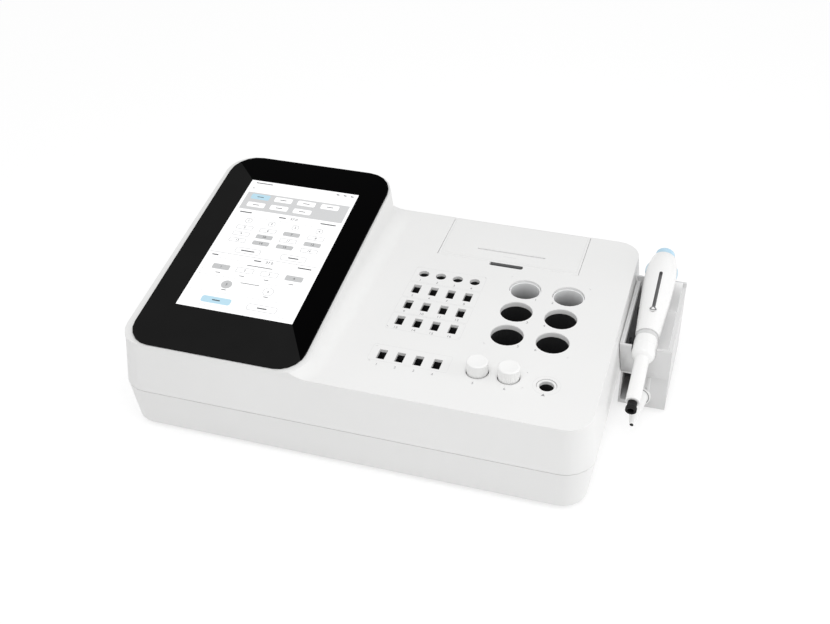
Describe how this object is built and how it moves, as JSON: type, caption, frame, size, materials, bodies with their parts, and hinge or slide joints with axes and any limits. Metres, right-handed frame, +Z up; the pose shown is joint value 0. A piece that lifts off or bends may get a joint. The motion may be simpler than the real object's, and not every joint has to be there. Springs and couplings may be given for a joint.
{
  "type": "coagulation analyzer",
  "caption": "Bench coagulation analyzer: white case with a tilted touch screen, heated wells, reagent bores, a receipt printer, and a dispensing pipette in a side holder.",
  "frame": {"origin": "on the table, under the middle of the whole object's bounding box", "axes": "+X to the object's right (the holder's side), +Y to its back, +Z up"},
  "size_m": [0.4514, 0.278, 0.1314],
  "materials": {
    "matte_white": "satin white",
    "glass_black": "glossy black, printed from behind",
    "display_grey": "bare sheet metal back",
    "block_black": "black anodised",
    "cup_white": "smooth light grey",
    "cap_white": "satin white, ribbed",
    "steel": "bright zinc",
    "board": "green board",
    "grey": "matte grey",
    "black": "matte black",
    "copper": "enamelled copper winding",
    "paper": "uncoated thermal paper",
    "rubber": "matte black rubber",
    "holder_grey": "satin grey",
    "pipette_white": "smooth white",
    "light_blue": "smooth light blue",
    "ring_grey": "smooth grey",
    "heater": "silicone heater mat"
  },
  "bodies": {
    "case": {"lower_shell": "matte_white", "upper_shell": "matte_white", "screen_glass": "glass_black", "display_module": "display_grey", "incubation_block": "block_black", "heater_mat": "heater", "test_block": "block_black", "coil_board": "board", "drive_coil_1": "copper", "drive_coil_2": "copper", "drive_coil_3": "copper", "drive_coil_4": "copper", "reagent_block": "block_black", "mixing_well": "block_black", "stir_motor": "steel", "printer_bay": "grey", "print_head": "black", "lid_pin_left": "steel", "lid_pin_right": "steel", "main_board": "board", "power_supply": "steel", "fan_frame": "black", "rear_plate": "steel", "power_inlet": "black", "switch_housing": "black", "serial_port": "black", "usb_port": "black", "foot_left_front": "rubber", "foot_left_back": "rubber", "foot_right_front": "rubber", "foot_right_back": "rubber", "case_screw_left_front": "steel", "case_screw_left_back": "steel", "case_screw_right_front": "steel", "case_screw_right_back": "steel", "holder_bracket": "holder_grey", "holder_screw_1": "steel", "holder_screw_2": "steel", "incubation_cover": "matte_white", "test_cover": "matte_white", "reagent_cover": "matte_white"},
    "lid": {"printer_lid": "matte_white"},
    "platen": {"platen_roller": "rubber"},
    "paper": {"paper_roll": "paper", "paper_spindle": "black"},
    "cap_left": {"well_cap_left": "cap_white"},
    "cap_right": {"well_cap_right": "cap_white"},
    "cup_left": {"reagent_cup_left": "cup_white"},
    "cup_right": {"reagent_cup_right": "cup_white"},
    "stirrer": {"stir_magnet": "steel"},
    "fan": {"fan_rotor": "black"},
    "switch": {"power_rocker": "grey"},
    "pipette": {"pipette_barrel": "pipette_white", "lock_ring": "ring_grey", "pipette_shaft": "pipette_white", "tip_seat": "rubber"},
    "push_button": {"dispense_button": "light_blue"},
    "wheel": {"volume_wheel": "light_blue"},
    "slider": {"fill_slider": "ring_grey"},
    "tip": {"dispenser_tip": "pipette_white"}
  },
  "joints": [
    {"name": "printer_lid_hinge", "type": "hinge", "parent": "case", "child": "lid", "pos_m": [0.06575, 0.1269, 0.0795], "axis": [-1, 0, 0], "range_deg": [0, 95]},
    {"name": "platen_spin", "type": "hinge", "parent": "lid", "child": "platen", "pos_m": [0.06575, 0.0943, 0.0762], "axis": [1, 0, 0], "continuous": true},
    {"name": "paper_roll_spin", "type": "hinge", "parent": "case", "child": "paper", "pos_m": [0.06575, 0.1076, 0.0492], "axis": [1, 0, 0], "continuous": true},
    {"name": "well_cap_left_lift", "type": "slide", "parent": "case", "child": "cap_left", "axis": [0, 0, 1], "range_m": [0, 0.04]},
    {"name": "well_cap_right_lift", "type": "slide", "parent": "case", "child": "cap_right", "axis": [0, 0, 1], "range_m": [0, 0.04]},
    {"name": "reagent_cup_left_lift", "type": "slide", "parent": "case", "child": "cup_left", "axis": [0, 0, 1], "range_m": [0, 0.06]},
    {"name": "reagent_cup_right_lift", "type": "slide", "parent": "case", "child": "cup_right", "axis": [0, 0, 1], "range_m": [0, 0.06]},
    {"name": "stirrer_spin", "type": "hinge", "parent": "case", "child": "stirrer", "pos_m": [0.13645, -0.0865, 0.049], "axis": [0, 0, 1], "continuous": true},
    {"name": "fan_spin", "type": "hinge", "parent": "case", "child": "fan", "pos_m": [0.14625, 0.126, 0.0235], "axis": [0, -1, 0], "continuous": true},
    {"name": "power_switch_rock", "type": "hinge", "parent": "case", "child": "switch", "pos_m": [-0.11865, 0.1289, 0.0223], "axis": [0, 0, 1], "range_deg": [0, 20]},
    {"name": "pipette_lift", "type": "slide", "parent": "case", "child": "pipette", "axis": [0, 0, 1], "range_m": [0, 0.09]},
    {"name": "dispense_button_press", "type": "slide", "parent": "pipette", "child": "push_button", "axis": [0, -0.9848, -0.1736], "range_m": [0, 0.005], "stiffness_N_per_m": 500},
    {"name": "volume_wheel_turn", "type": "hinge", "parent": "pipette", "child": "wheel", "pos_m": [0.20225, 0.09662, 0.08474], "axis": [0.0523, -0.1734, 0.9835], "range_deg": [-160, 160]},
    {"name": "fill_slider_slide", "type": "slide", "parent": "pipette", "child": "slider", "axis": [0.0027, 0.9746, 0.224], "range_m": [0, 0.042]},
    {"name": "dispenser_tip_pull", "type": "slide", "parent": "case", "child": "tip", "axis": [0, -1, 0], "range_m": [0, 0.05]}
  ],
  "couplings": [
    {"joint": "platen_spin", "follows": "paper_roll_spin", "ratio": 3.6}
  ]
}
